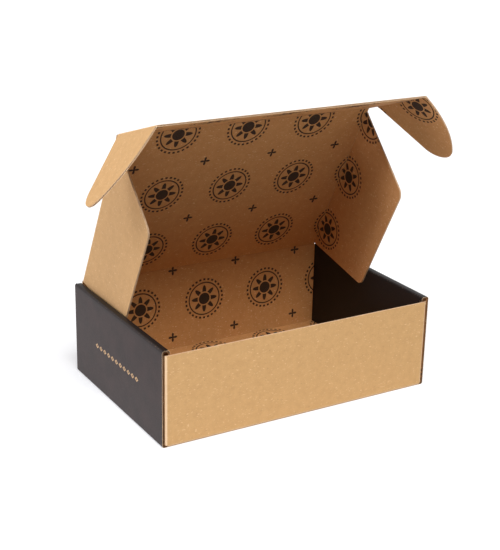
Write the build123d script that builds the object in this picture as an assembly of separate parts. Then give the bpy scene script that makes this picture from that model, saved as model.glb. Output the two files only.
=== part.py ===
from build123d import *
from math import atan2, cos, pi, sin, sqrt
import os

# A corrugated mailer folded from one sheet: rolled side walls, a hinged lid with side wings
# and a tuck flap with a locking ear at each end. The lid stands part open.
# Millimetres. X runs across the front, -Y is the front, Z is up.
# The origin is the centre of the underside.

os.makedirs("parts", exist_ok=True)

# Case
box_width = 250.0
box_depth = 166.0
box_height = 80.5
board = 1.4
bend_radius = 0.6
front_drop = 4.2

# Clearances
layer_gap = 0.9
ear_gap = 0.15
wing_gap = 0.2
fold_gap = 0.15
floor_gap = 0.3
lock_gap = 0.2

# Side walls
side_setback = 0.9
roll_setback = 3.8
roll_rear_gap = 0.4
lock_length = 22.0
lock_pitch = 78.0
lock_rise = 0.2

# Corner tabs
tab_length = 60.0
tab_foot = 3.0
tab_drop = 5.0
tab_taper = 8.0

# Lid and wings
lid_angle = 62.5
wing_depth = 76.5
wing_rear_slant = 20.0
wing_front_slant = 27.0
wing_rear_start = 2.5
wing_front_end = 4.0
wing_rear_corner = 7.0
wing_front_corner = 9.0

# Tuck flap and ears
tuck_angle = 45.0
tuck_depth = 77.5
ear_angle = 49.0
ear_start = 10.0
ear_foot = 1.2
ear_tip_reach = 50.0
ear_tip_place = 38.5
ear_tip_radius = 17.0

# Layers of a side wall, measured in from its outer face
half_board = board / 2
tab_outer = board + layer_gap
tab_inner = tab_outer + board
ear_outer = tab_inner + ear_gap
ear_inner = ear_outer + board
roll_outer = ear_inner + ear_gap
roll_inner = roll_outer + board
wing_outer = roll_inner + wing_gap
wing_inner = wing_outer + board

half_width = box_width / 2
half_depth = box_depth / 2
front_height = box_height - front_drop
fold_clear = half_board + fold_gap
cutter = 4 * box_width

# Fold lines of the closed box
lid_axis_y = half_depth - half_board
lid_axis_z = box_height - half_board
tuck_axis_y = -half_depth + board + fold_gap + half_board
lid_length = lid_axis_y - tuck_axis_y
ear_axis_x = half_width - ear_outer - half_board


def block(x0, x1, y0, y1, z0, z1):
    """A box between two corners."""
    box = Box(x1 - x0, y1 - y0, z1 - z0, align=(Align.MIN, Align.MIN, Align.MIN))
    return Pos(x0, y0, z0) * box


def folded(plane, points, start, length):
    """A sheet bent along a line through points, run out along the plane's normal."""
    line = FilletPolyline(*points, radius=half_board + bend_radius)
    return Pos(*(plane.z_dir * start)) * extrude(plane * trace(line, board), length, dir=plane.z_dir)


def both_sides(solid):
    """The solid and its mirror image across the middle of the box."""
    return solid + mirror(solid, about=Plane.YZ)


# Tray: front wall, floor and back wall are one strip, bent twice
inner_half = half_width - tab_outer
back_top = lid_axis_z - fold_clear
strip_points = [
    (-half_depth + half_board, front_height),
    (-half_depth + half_board, half_board),
    (half_depth - half_board, half_board),
    (half_depth - half_board, back_top),
]
strip_half = inner_half - board - bend_radius
strip = folded(Plane.YZ, strip_points, -strip_half, 2 * strip_half)

# Front and back walls carry corner tabs that turn in between the layers of the side walls
tab_line_x = inner_half - half_board
tab_end = half_depth - tab_length


def tabbed_wall(wall_top):
    """A wall at the front of the box with a tapered tab at each end."""
    wall_line = half_depth - half_board
    points = [
        (-tab_line_x, -tab_end),
        (-tab_line_x, -wall_line),
        (tab_line_x, -wall_line),
        (tab_line_x, -tab_end),
    ]
    sheet = folded(Plane.XY, points, 0, wall_top)
    shoulder = -half_depth + board + bend_radius
    outline = Polyline(
        (-half_depth, board + bend_radius),
        (shoulder, board + bend_radius),
        (shoulder + tab_foot, tab_foot),
        (-tab_end, tab_foot + tab_taper),
        (-tab_end, wall_top - tab_drop - tab_taper),
        (shoulder + tab_foot, wall_top - tab_drop),
        (shoulder, wall_top),
        (-half_depth, wall_top),
        close=True,
    )
    keep = extrude(Plane.YZ * make_face(outline), cutter, both=True)
    return sheet & keep


front = tabbed_wall(front_height)
back = mirror(tabbed_wall(back_top), about=Plane.XZ)

# Side walls: outer panel, rolled top and inner panel, bent twice
roll_points = [
    (0, half_board),
    (-half_width + half_board, half_board),
    (-half_width + half_board, box_height - half_board),
    (-half_width + roll_inner - half_board, box_height - half_board),
    (-half_width + roll_inner - half_board, board + floor_gap),
]
side_half = half_depth - side_setback
side = folded(Plane.XZ, roll_points, -side_half, 2 * side_half)

# The roll is shorter than the wall at the front, where the ears go in, and at the back
roll_front = -half_depth + roll_setback
roll_rear = half_depth - board - roll_rear_gap
roll_x = -half_width + board + bend_radius
roll_end_x = -half_width + roll_inner + bend_radius
roll_foot = board + bend_radius
side -= block(roll_x, roll_end_x, -half_depth, roll_front, roll_foot, cutter)
side -= block(roll_x, roll_end_x, roll_rear, half_depth, roll_foot, cutter)

tray = both_sides(side) + strip + front + back

# Tongues on the inner panels stand in slots through the floor
tongue_x = -half_width + roll_outer
tongue_root = board + floor_gap + half_board
for place in (-lock_pitch / 2, lock_pitch / 2):
    y0 = place - lock_length / 2
    y1 = place + lock_length / 2
    slot = block(
        tongue_x - lock_gap,
        tongue_x + board + lock_gap,
        y0 - lock_gap,
        y1 + lock_gap,
        -board,
        board + floor_gap / 2,
    )
    tongue = block(tongue_x, tongue_x + board, y0, y1, lock_rise, tongue_root)
    tray -= both_sides(slot)
    tray += both_sides(tongue)

# Flaps are drawn flat: X across, Y away from the fold, Z towards the inside of the box
lid_half = half_width - wing_outer
wing_axis_x = half_width - wing_inner
wing_end = lid_length - wing_front_end


def plate_from_fold(half, length, far_gap):
    """A sheet with a round edge on its fold line and a square edge at the far end."""
    sheet = block(-half, half, 0, length - far_gap, -half_board, half_board)
    edge = extrude(Plane.YZ * Circle(half_board), half, both=True)
    return sheet + edge


# Lid, recessed along each side where a wing folds
lid = plate_from_fold(lid_half, lid_length, fold_clear)
recess = block(
    wing_axis_x - wing_gap,
    half_width,
    wing_rear_start - fold_gap,
    wing_end + fold_gap,
    -board,
    board,
)
lid -= both_sides(recess)

# Wing: slanted at both ends, with the bend along the lid left round
wing_points = [
    (wing_rear_start, half_board),
    (wing_rear_start + wing_rear_slant, half_board + wing_depth),
    (wing_end - wing_front_slant, half_board + wing_depth),
    (wing_end, half_board),
]
wing_face = make_face(Polyline(*wing_points, close=True))
for point, radius in ((wing_points[1], wing_rear_corner), (wing_points[2], wing_front_corner)):
    corner = wing_face.vertices().sort_by_distance(point)[0]
    wing_face = fillet(corner, radius)
wing = Pos(wing_axis_x, 0, 0) * extrude(Plane.YZ * wing_face, board)
bend = Circle(board) & Pos(board / 2, -board / 2) * Rectangle(board, board)
bend = Plane.XZ * Pos(wing_axis_x, half_board) * bend
wing += Pos(0, wing_end, 0) * extrude(bend, wing_end - wing_rear_start, dir=(0, -1, 0))

# Tuck flap, as wide as the lid at its fold and out to the ears beyond it
tuck_half = ear_axis_x - fold_clear
tuck = plate_from_fold(tuck_half, tuck_depth, 0)
ear_end = tuck_depth - ear_foot
tuck_root = block(lid_half, half_width, -board, ear_start - fold_gap, -board, board)
tuck -= both_sides(tuck_root)

# Ear: straight towards the lid, round at the tip, and bowed towards the free edge of the flap
rise = ear_end - ear_tip_place
bow = (ear_tip_reach**2 + rise**2 - ear_tip_radius**2) / (2 * (rise - ear_tip_radius))
bow_centre = Vector(0, ear_end - bow)
tip_centre = Vector(ear_tip_reach, ear_tip_place)
near_way = (tip_centre - bow_centre).normalized()
near_point = tip_centre + near_way * ear_tip_radius
foot = Vector(0, ear_start)
to_tip = tip_centre - foot
far_turn = atan2(to_tip.Y, to_tip.X) - atan2(ear_tip_radius, sqrt(to_tip.length**2 - ear_tip_radius**2))
far_point = tip_centre + Vector(sin(far_turn), -cos(far_turn)) * ear_tip_radius
bow_turn = atan2(near_way.X, near_way.Y) / 2
bow_point = bow_centre + Vector(sin(bow_turn), cos(bow_turn)) * bow
tip_point = tip_centre + Vector(ear_tip_radius, 0)
ear_outline = [
    Line(foot, far_point),
    ThreePointArc(far_point, tip_point, near_point),
    ThreePointArc(near_point, bow_point, Vector(0, ear_end)),
    Line(Vector(0, ear_end), foot),
]
ear = Pos(0, 0, -half_board) * extrude(make_face(ear_outline), board)
ear += Pos(0, ear_end, 0) * extrude(Plane.XZ * Circle(half_board), ear_end - ear_start, dir=(0, -1, 0))


def turned(angle):
    """Sine and cosine of an angle in degrees."""
    return sin(angle * pi / 180), cos(angle * pi / 180)


# Each flap's own frame, placed on the fold that carries it
lid_sin, lid_cos = turned(lid_angle)
tuck_sin, tuck_cos = turned(tuck_angle)
ear_sin, ear_cos = turned(ear_angle)
lid_frame = Plane(origin=(0, lid_axis_y, lid_axis_z), x_dir=(1, 0, 0), z_dir=(0, -lid_sin, -lid_cos))
tuck_frame = Plane(origin=(0, lid_length, 0), x_dir=(1, 0, 0), z_dir=(0, -tuck_sin, tuck_cos))
ear_frame = Plane(origin=(ear_axis_x, 0, 0), x_dir=(ear_cos, 0, ear_sin), z_dir=(-ear_sin, 0, ear_cos))
on_lid = lid_frame.location
on_tuck = on_lid * tuck_frame.location
ear_placed = ear_frame.location * ear

nodes = {
    "tray": tray,
    "lid": on_lid * lid,
    "wing_right": on_lid * wing,
    "wing_left": on_lid * mirror(wing, about=Plane.YZ),
    "tuck_flap": on_tuck * tuck,
    "ear_right": on_tuck * ear_placed,
    "ear_left": on_tuck * mirror(ear_placed, about=Plane.YZ),
}
for name, shape in nodes.items():
    export_step(shape, f"parts/{name}.step")
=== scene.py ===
"""An open mailer folded from one sheet of corrugated board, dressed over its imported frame."""

import logging
from dataclasses import dataclass, field
from enum import Enum
from math import atan2, ceil, cos, floor, pi, radians, sin, sqrt, tan
from typing import Callable, Iterable

import bpy
from mathutils import Matrix, Vector


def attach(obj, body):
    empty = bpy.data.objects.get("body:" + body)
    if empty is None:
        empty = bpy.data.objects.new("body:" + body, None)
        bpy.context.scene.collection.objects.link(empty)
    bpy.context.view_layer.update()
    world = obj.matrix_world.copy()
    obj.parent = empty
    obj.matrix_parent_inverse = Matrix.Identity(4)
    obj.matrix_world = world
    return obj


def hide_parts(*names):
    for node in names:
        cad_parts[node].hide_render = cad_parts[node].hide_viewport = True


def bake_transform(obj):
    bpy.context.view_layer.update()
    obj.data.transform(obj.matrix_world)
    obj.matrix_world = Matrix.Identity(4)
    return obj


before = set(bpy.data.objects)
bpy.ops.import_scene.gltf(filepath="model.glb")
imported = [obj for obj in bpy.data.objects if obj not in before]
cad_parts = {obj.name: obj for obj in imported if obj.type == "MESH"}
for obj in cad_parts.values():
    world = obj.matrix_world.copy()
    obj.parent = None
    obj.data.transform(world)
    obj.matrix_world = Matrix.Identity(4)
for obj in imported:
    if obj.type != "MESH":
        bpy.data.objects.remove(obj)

LOG = logging.getLogger("mailer")
MM = 0.001
BLANK_PLACE = "blank_place"
SAME_RUN = 1e-9
SHARP_TURN = 32.0

Pair = tuple[float, float]
Ends = tuple[float, float, float, float]
Colour = tuple[float, float, float, float]
Place = Callable[[Vector, float], Vector]
Blank = Callable[[float, float], Pair]
Offset = Callable[[float], float]
Finish = Callable[[float], "Surface"]


class Liner(Enum):
    """The two faces of the flat blank; the value is the side of a section that it lies on."""

    OUTSIDE = -1
    INSIDE = 1


class Hand(Enum):
    """The two sides of the box; the value is the sign of X there."""

    RIGHT = 1
    LEFT = -1

    @property
    def side(self) -> str:
        """The side's name in the names of bodies."""
        return self.name.lower()


class Surface(Enum):
    """What a face of the board shows; the value is its material slot on every piece."""

    KRAFT = 0
    PRINTED = 1
    BLACK = 2
    # Cut paper: pale, and made paler as a painted highlight so the thin cut edges read as lit lines.
    RAW = 3
    # Dark brown paper for the side walls' flutes and what faces them: painted shade, since the real flute
    # paper is kraft.
    FLUTE_SHADE = 4


@dataclass(frozen=True)
class Board:
    """Make-up of the corrugated board, in metres."""

    thickness: float = 1.4 * MM
    inset: float = 0.02 * MM
    liner: float = 0.24 * MM
    flute_pitch: float = 3.0 * MM
    flute_paper: float = 0.18 * MM
    flute_steps: int = 8
    bend_steps: int = 6

    @property
    def half(self) -> float:
        """Half the board's thickness."""
        return self.thickness / 2

    @property
    def flat_start(self) -> float:
        """Distance from a fold's axis to the first of a panel's board, inside its round edge."""
        return self.half / 2

    @property
    def face(self) -> float:
        """Distance from the board's middle to a face, a hair inside the frame's solid."""
        return self.half - self.inset

    @property
    def core(self) -> float:
        """Distance from the board's middle to the hidden side of a liner."""
        return self.face - self.liner

    def flute_rise(self, run: float) -> float:
        """Height of the fluted paper at a distance across the flutes."""
        return (self.core - self.flute_paper / 2) * sin(2 * pi * run / self.flute_pitch)


def turned(arrow: Vector, angle: float) -> Vector:
    """A flat arrow turned anticlockwise by an angle in radians."""
    return Vector((arrow.x * cos(angle) - arrow.y * sin(angle), arrow.x * sin(angle) + arrow.y * cos(angle)))


def left_of(arrow: Vector) -> Vector:
    """A flat arrow turned anticlockwise by a right angle."""
    return Vector((-arrow.y, arrow.x))


def frame_at(origin: Iterable[float], across: Iterable[float], inward: Iterable[float]) -> Matrix:
    """A frame from its origin, its X direction and its Z direction.

    Args:
        origin: Where the frame stands.
        across: Its X direction, of length one.
        inward: Its Z direction, of length one.

    Returns:
        The matrix that takes the frame's own places to its parent's.
    """
    axis_x = Vector(across)
    axis_z = Vector(inward)
    turn = Matrix((axis_x, axis_z.cross(axis_x), axis_z)).transposed().to_4x4()
    return Matrix.Translation(Vector(origin)) @ turn


def handed(hand: Hand) -> Matrix:
    """Mirror across the middle of the box for the left hand, and nothing for the right."""
    return Matrix.Diagonal((hand.value, 1, 1, 1))


class SectionPath:
    """The middle line of a folded sheet's section: straight runs joined by round bends."""

    def __init__(self, corners: list[Pair], radius: float) -> None:
        """Lays the path through its corners.

        Args:
            corners: The corners before rounding.
            radius: The radius of every bend, at the middle of the board.
        """
        self.pieces: list[tuple[float, Callable[[float], tuple[Vector, Vector]]]] = []
        self.bends: list[Pair] = []
        points = [Vector(c) for c in corners]
        start = points[0]
        run = 0.0
        for before, corner, after in zip(points, points[1:], points[2:]):
            way_in = (corner - before).normalized()
            way_out = (after - corner).normalized()
            turn = atan2(way_in.cross(way_out), way_in.dot(way_out))
            trim = radius * tan(abs(turn) / 2)
            run = self._add_straight(run, start, corner - way_in * trim)
            run = self._add_bend(run, corner - way_in * trim, way_in, turn, radius)
            start = corner + way_out * trim
        self.length = self._add_straight(run, start, points[-1])

    def _add_straight(self, run: float, start: Vector, end: Vector) -> float:
        """Adds a straight run, unless the bends leave nothing of it.

        Args:
            run: The distance along the path at its start.
            start: Its start.
            end: Its end.

        Returns:
            The distance along the path at its end.
        """
        length = (end - start).length
        if length > SAME_RUN:
            way = (end - start).normalized()
            self.pieces.append((run + length, lambda s: (start + way * (s - run), left_of(way))))
        return run + length

    def _add_bend(self, run: float, start: Vector, way: Vector, turn: float, radius: float) -> float:
        """Adds a round bend.

        Args:
            run: The distance along the path at its start.
            start: Its start.
            way: The way in which the path enters it.
            turn: Its angle in radians, above 0 to the left.
            radius: Its radius.

        Returns:
            The distance along the path at its end.
        """
        side = 1 if turn > 0 else -1
        centre = start + left_of(way) * side * radius

        def spot(s: float) -> tuple[Vector, Vector]:
            """Point and normal at a distance inside the bend."""
            swept = side * (s - run) / radius
            return centre + turned(start - centre, swept), turned(left_of(way), swept)

        end = run + radius * abs(turn)
        self.pieces.append((end, spot))
        self.bends.append((run, end))
        return end

    def at(self, run: float) -> tuple[Vector, Vector]:
        """Point and normal at a distance along the path."""
        for end, spot in self.pieces:
            if run <= end + SAME_RUN:
                return spot(run)
        return self.pieces[-1][1](run)

    def bend_cuts(self, steps: int) -> list[float]:
        """Distances at which the path has to be cut for its bends to look round."""
        return [low + (high - low) * k / steps for low, high in self.bends for k in range(steps + 1)]


@dataclass(frozen=True)
class Knot:
    """The sheet's two ends along its flutes at one distance along its section."""

    run: float
    low: float
    high: float


def mirrored(knots: list[Knot], path: SectionPath) -> list[Knot]:
    """The same outline at the other end of a path."""
    return [Knot(path.length - knot.run, knot.low, knot.high) for knot in reversed(knots)]


def rows_between(knots: list[Knot], cuts: Iterable[float]) -> list[Knot]:
    """The knots of an outline with more of them put in where the section is cut.

    Args:
        knots: The outline, in order. Two knots at one distance make a step.
        cuts: Distances that need a knot of their own.

    Returns:
        The fuller outline, in order.
    """
    ordered = sorted(set(cuts))
    rows = [knots[0]]
    for a, b in zip(knots, knots[1:]):
        for cut in ordered:
            if a.run + SAME_RUN < cut < b.run - SAME_RUN:
                share = (cut - a.run) / (b.run - a.run)
                rows.append(Knot(cut, a.low + (b.low - a.low) * share, a.high + (b.high - a.high) * share))
        rows.append(b)
    return rows


def add_object(name: str, data: bpy.types.ID) -> bpy.types.Object:
    """Makes an object and links it to the scene."""
    made = bpy.data.objects.new(name, data)
    bpy.context.scene.collection.objects.link(made)
    return made


class SheetMesh:
    """Collects the points, faces and finishes of one piece of board."""

    def __init__(self) -> None:
        """Starts an empty piece."""
        self.points: list[Vector] = []
        self.blanks: list[tuple[float, float, float]] = []
        self.faces: list[tuple[int, ...]] = []
        self.slots: list[int] = []
        self.place: Place = lambda spot, reach: Vector((spot.x, reach, spot.y))
        self.blank: Blank = lambda run, reach: (run, reach)
        self.turn_faces = False

    def stand(self, place: Place, blank: Blank) -> None:
        """Sets where the next layers go.

        Args:
            place: Takes a point of the section and a distance along the flutes to the box.
            blank: Takes a distance along the section and along the flutes to the flat blank.
        """
        origin = place(Vector((0, 0)), 0)
        along = place(Vector((1, 0)), 0) - origin
        upward = place(Vector((0, 1)), 0) - origin
        across = place(Vector((0, 0)), 1) - origin
        self.place = place
        self.blank = blank
        self.turn_faces = along.cross(upward).dot(across) > 0

    def lay(self, panel: Matrix, blank: Blank) -> None:
        """Sets the next layers flat in a panel's frame, with their flutes away from its fold."""
        self.stand(lambda spot, y: panel @ Vector((spot.x, y, spot.y)), blank)

    def point(self, spot: Vector, reach: float, run: float, depth: float) -> int:
        """Adds a point and returns its number.

        Args:
            spot: Its place in the section.
            reach: Its distance along the flutes.
            run: Its distance along the section.
            depth: Its height over the board's middle.

        Returns:
            The point's number in the mesh.
        """
        self.points.append(self.place(spot, reach))
        self.blanks.append((*self.blank(run, reach), depth))
        return len(self.points) - 1

    def face(self, corners: tuple[int, ...], surface: Surface) -> None:
        """Adds a face with its finish."""
        self.faces.append(tuple(reversed(corners)) if self.turn_faces else corners)
        self.slots.append(surface.value)

    def layer(
        self,
        path: SectionPath,
        rows: list[Knot],
        bottom: Offset,
        top: Offset,
        under: Finish,
        over: Finish,
        edge: Surface = Surface.RAW,
    ) -> None:
        """Adds one closed layer of paper that follows the path.

        Args:
            path: The section.
            rows: The layer's outline.
            bottom: Offset of its lower face from the path.
            top: Offset of its upper face from the path.
            under: Finish of its lower face.
            over: Finish of its upper face.
            edge: Finish of its cut edges.
        """
        rings = []
        for knot in rows:
            spot, normal = path.at(knot.run)
            lower = spot + normal * bottom(knot.run)
            upper = spot + normal * top(knot.run)
            corners = ((lower, knot.low), (lower, knot.high), (upper, knot.high), (upper, knot.low))
            depths = (bottom(knot.run), bottom(knot.run), top(knot.run), top(knot.run))
            rings.append([self.point(c, r, knot.run, d) for (c, r), d in zip(corners, depths)])
        for here, there, a, b in zip(rings, rings[1:], rows, rows[1:]):
            if b.run - a.run > SAME_RUN:
                middle = (a.run + b.run) / 2
                self.face((here[0], here[1], there[1], there[0]), under(middle))
                self.face((here[2], here[3], there[3], there[2]), over(middle))
            if b.run - a.run > SAME_RUN or a.high != b.high:
                self.face((here[1], here[2], there[2], there[1]), edge)
            if b.run - a.run > SAME_RUN or a.low != b.low:
                self.face((here[3], here[0], there[0], there[3]), edge)
        self.face(tuple(reversed(rings[0])), edge)
        self.face(tuple(rings[-1]), edge)

    def board(
        self,
        path: SectionPath,
        knots: list[Knot],
        board: Board,
        outside: Finish = lambda run: Surface.KRAFT,
        inside: Finish = lambda run: Surface.PRINTED,
        core: Surface = Surface.RAW,
    ) -> None:
        """Adds two liners and the fluted paper between them.

        Args:
            path: The section.
            knots: The board's outline.
            board: Its make-up.
            outside: Finish of the liner under the path.
            inside: Finish of the liner over the path.
            core: Finish of the fluted paper, of what faces it, and of the inner liner's cut edges.
        """
        cuts = path.bend_cuts(board.bend_steps)
        rows = rows_between(knots, cuts)
        hidden = lambda run: core
        self.layer(path, rows, lambda s: -board.face, lambda s: -board.core, outside, hidden)
        self.layer(path, rows, lambda s: board.core, lambda s: board.face, hidden, inside, core)
        step = board.flute_pitch / board.flute_steps
        waves = [k * step for k in range(ceil(knots[0].run / step), floor(knots[-1].run / step) + 1)]
        half_paper = board.flute_paper / 2
        self.layer(
            path,
            rows_between(knots, [*cuts, *waves]),
            lambda s: board.flute_rise(s) - half_paper,
            lambda s: board.flute_rise(s) + half_paper,
            hidden,
            hidden,
            core,
        )

    def tube(self, rings: list[list[int]], first: Surface = Surface.RAW) -> None:
        """Joins rings of points into a closed tube of raw paper.

        Args:
            rings: Numbers of the points of each ring.
            first: Finish of the side between the first two points of the rings.
        """
        count = len(rings[0])
        for here, there in zip(rings, rings[1:]):
            for k in range(count):
                after = (k + 1) % count
                self.face((here[k], here[after], there[after], there[k]), Surface.RAW if k else first)
        self.face(tuple(reversed(rings[0])), Surface.RAW)
        self.face(tuple(rings[-1]), Surface.RAW)

    def bead(self, radius: float, low: float, high: float, steps: int = 16) -> None:
        """Adds the crushed round edge of a panel on its fold's axis.

        Args:
            radius: Half the board's thickness there.
            low: One end.
            high: The other end.
            steps: Number of its sides.
        """
        spots = [turned(Vector((radius, 0)), 2 * pi * k / steps) for k in range(steps)]
        self.tube([[self.point(spot, reach, 0, 0) for spot in spots] for reach in (low, high)])

    def build(self, name: str, materials: list[bpy.types.Material]) -> bpy.types.Object:
        """Makes the Blender object.

        Args:
            name: The object's name.
            materials: One for each Surface, in order.

        Returns:
            The new object, linked to the scene.
        """
        mesh = bpy.data.meshes.new(name)
        mesh.from_pydata([tuple(p) for p in self.points], [], self.faces)
        for material in materials:
            mesh.materials.append(material)
        mesh.polygons.foreach_set("material_index", self.slots)
        layer = mesh.attributes.new(BLANK_PLACE, "FLOAT_VECTOR", "POINT")
        layer.data.foreach_set("vector", [value for place in self.blanks for value in place])
        mesh.shade_smooth()
        mesh.set_sharp_from_angle(angle=radians(SHARP_TURN))
        return add_object(name, mesh)


@dataclass(frozen=True)
class CaseSizes:
    """Sizes of the whole box that its parts share, in metres and degrees."""

    width: float = 250 * MM
    depth: float = 166 * MM
    height: float = 80.5 * MM
    bend_radius: float = 0.6 * MM
    front_drop: float = 4.2 * MM
    layer_gap: float = 0.9 * MM
    ear_gap: float = 0.15 * MM
    wing_gap: float = 0.2 * MM
    fold_gap: float = 0.15 * MM
    lid_angle: float = 62.5
    tuck_angle: float = 45.0
    ear_angle: float = 49.0
    ear_start: float = 10 * MM
    ear_end: float = 76.3 * MM
    wing_start: float = 2.5 * MM
    wing_front_gap: float = 4 * MM
    board: Board = field(default_factory=Board)

    @property
    def half_width(self) -> float:
        """Half the width across the front."""
        return self.width / 2

    @property
    def half_depth(self) -> float:
        """Half the depth from front to back."""
        return self.depth / 2

    @property
    def tab_outer(self) -> float:
        """Distance in from a side wall's outer face to the corner tab."""
        return self.board.thickness + self.layer_gap

    @property
    def ear_outer(self) -> float:
        """Distance in from a side wall's outer face to a locked ear."""
        return self.tab_outer + self.board.thickness + self.ear_gap

    @property
    def roll_outer(self) -> float:
        """Distance in from a side wall's outer face to the rolled inner panel."""
        return self.ear_outer + self.board.thickness + self.ear_gap

    @property
    def roll_inner(self) -> float:
        """Distance in from a side wall's outer face to the face inside the box."""
        return self.roll_outer + self.board.thickness

    @property
    def wing_outer(self) -> float:
        """Distance in from a side wall's outer face to a lid wing."""
        return self.roll_inner + self.wing_gap

    @property
    def fold_clear(self) -> float:
        """How far a panel stops short of a fold's axis."""
        return self.board.half + self.fold_gap

    @property
    def bend(self) -> float:
        """Radius of a fold inside the tray, at the middle of the board."""
        return self.board.half + self.bend_radius

    @property
    def bend_outer(self) -> float:
        """Radius of a fold inside the tray, at its outer face."""
        return self.board.thickness + self.bend_radius

    @property
    def lid_axis(self) -> Pair:
        """Y and Z of the lid's fold."""
        return self.half_depth - self.board.half, self.height - self.board.half

    @property
    def lid_half(self) -> float:
        """Half the lid's width."""
        return self.half_width - self.wing_outer

    @property
    def lid_length(self) -> float:
        """Distance between the lid's fold and the tuck flap's fold."""
        return self.depth - 2 * self.board.thickness - self.fold_gap

    @property
    def wing_end(self) -> float:
        """Distance from the lid's fold to the front end of a wing's foot."""
        return self.lid_length - self.wing_front_gap

    @property
    def ear_axis(self) -> float:
        """Distance from the middle of the box to an ear's fold."""
        return self.half_width - self.ear_outer - self.board.half

    @property
    def wing_axis(self) -> float:
        """Distance from the middle of the box to a wing's fold."""
        return self.half_width - self.wing_outer - self.board.thickness

    @property
    def lid_frame(self) -> Matrix:
        """Frame of the lid: X across, Y away from its fold, Z towards the inside of the box."""
        turn = radians(self.lid_angle)
        return frame_at((0, *self.lid_axis), (1, 0, 0), (0, -sin(turn), -cos(turn)))

    @property
    def tuck_frame(self) -> Matrix:
        """Frame of the tuck flap, from its fold at the lid's front edge."""
        turn = radians(self.tuck_angle)
        return self.lid_frame @ frame_at((0, self.lid_length, 0), (1, 0, 0), (0, -sin(turn), cos(turn)))

    def ear_frame(self, hand: Hand) -> Matrix:
        """Frame of an ear, from its fold at the end of the tuck flap."""
        turn = radians(self.ear_angle)
        fold = frame_at((self.ear_axis, 0, 0), (cos(turn), 0, sin(turn)), (-sin(turn), 0, cos(turn)))
        return self.tuck_frame @ handed(hand) @ fold

    @property
    def back_blank(self) -> float:
        """Distance on the flat blank from the middle of the floor to the lid's fold."""
        return self.half_depth + self.lid_axis[1]

    @property
    def tuck_blank(self) -> float:
        """Distance on the flat blank from the middle of the floor to the tuck flap's fold."""
        return self.back_blank + self.lid_length

    def wing_blank(self, hand: Hand) -> Blank:
        """Takes a distance out from a wing's fold, and one along it, to the flat blank."""
        return lambda run, y: (hand.value * (self.wing_axis + run), self.back_blank + y)

    def ear_blank(self, hand: Hand) -> Blank:
        """Takes a distance out from an ear's fold, and one along it, to the flat blank."""
        return lambda run, y: (hand.value * (self.ear_axis + run), self.tuck_blank + y)


@dataclass(frozen=True)
class Grain:
    """A noise over the blank: its scale each way, its detail and its roughness."""

    across: float
    along: float
    detail: float
    roughness: float
    through: float = 1.0


class Nodes:
    """A tree of nodes, written as sums."""

    def __init__(self, tree: bpy.types.NodeTree) -> None:
        """Takes up a tree."""
        self.tree = tree

    def node(
        self, kind: str, inputs: dict[int | str, object], output: int | str = 0, **settings: object
    ) -> object:
        """Adds a node.

        Args:
            kind: The node's type in Blender.
            inputs: Numbers or outputs of other nodes, by socket.
            output: The socket to return.
            settings: The node's own settings.

        Returns:
            One of the new node's outputs.
        """
        made = self.tree.nodes.new(kind)
        for key, value in settings.items():
            setattr(made, key, value)
        for socket, value in inputs.items():
            self.feed(made.inputs[socket], value)
        return made.outputs[output]

    def feed(self, socket: object, value: object) -> None:
        """Sets a socket to a number or joins an output to it."""
        if isinstance(value, bpy.types.NodeSocket):
            self.tree.links.new(value, socket)
        else:
            socket.default_value = value

    def math(self, operation: str, *values: object) -> object:
        """A sum of numbers or outputs."""
        return self.node("ShaderNodeMath", dict(enumerate(values)), operation=operation)

    def off(self, value: object, middle: float) -> object:
        """How far a value is from another."""
        return self.math("ABSOLUTE", self.math("SUBTRACT", value, middle))

    def within(self, value: object, half: float) -> object:
        """1 where a value lies between two like ends on both sides of 0, and 0 elsewhere."""
        return self.math("LESS_THAN", self.math("ABSOLUTE", value), half)

    def wave(self, angle: object, count: float) -> object:
        """A cosine that swings a number of times in a turn."""
        return self.math("COSINE", self.math("MULTIPLY", angle, count))

    def repeat(self, value: object, pitch: float, shift: float = 0.5) -> object:
        """The distance, with its sign, from the middle of a repeat that is moved by a share of its pitch."""
        share = self.math("FRACT", self.math("ADD", self.math("DIVIDE", value, pitch), shift))
        return self.math("MULTIPLY", self.math("SUBTRACT", share, 0.5), pitch)

    def ramp(
        self, value: object, low: float, high: float, to_low: float = 0.0, to_high: float = 1.0
    ) -> object:
        """Maps a stretch of values smoothly to another, held at its ends."""
        ends = {0: value, 1: low, 2: high, 3: to_low, 4: to_high}
        return self.node("ShaderNodeMapRange", ends, interpolation_type="SMOOTHSTEP")

    def mix(self, share: object, under: object, over: object) -> object:
        """One colour laid over another."""
        return self.node("ShaderNodeMix", {0: share, 6: under, 7: over}, output=2, data_type="RGBA")


class Graph(Nodes):
    """One material's nodes."""

    def __init__(self, name: str) -> None:
        """Starts a material with a plain shader."""
        self.material = bpy.data.materials.new(name)
        self.material.use_nodes = True
        super().__init__(self.material.node_tree)
        self.shader = self.tree.nodes["Principled BSDF"]

    def shade(self, settings: dict[str, object]) -> None:
        """Sets sockets of the shader, by name."""
        for socket, value in settings.items():
            self.feed(self.shader.inputs[socket], value)


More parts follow.
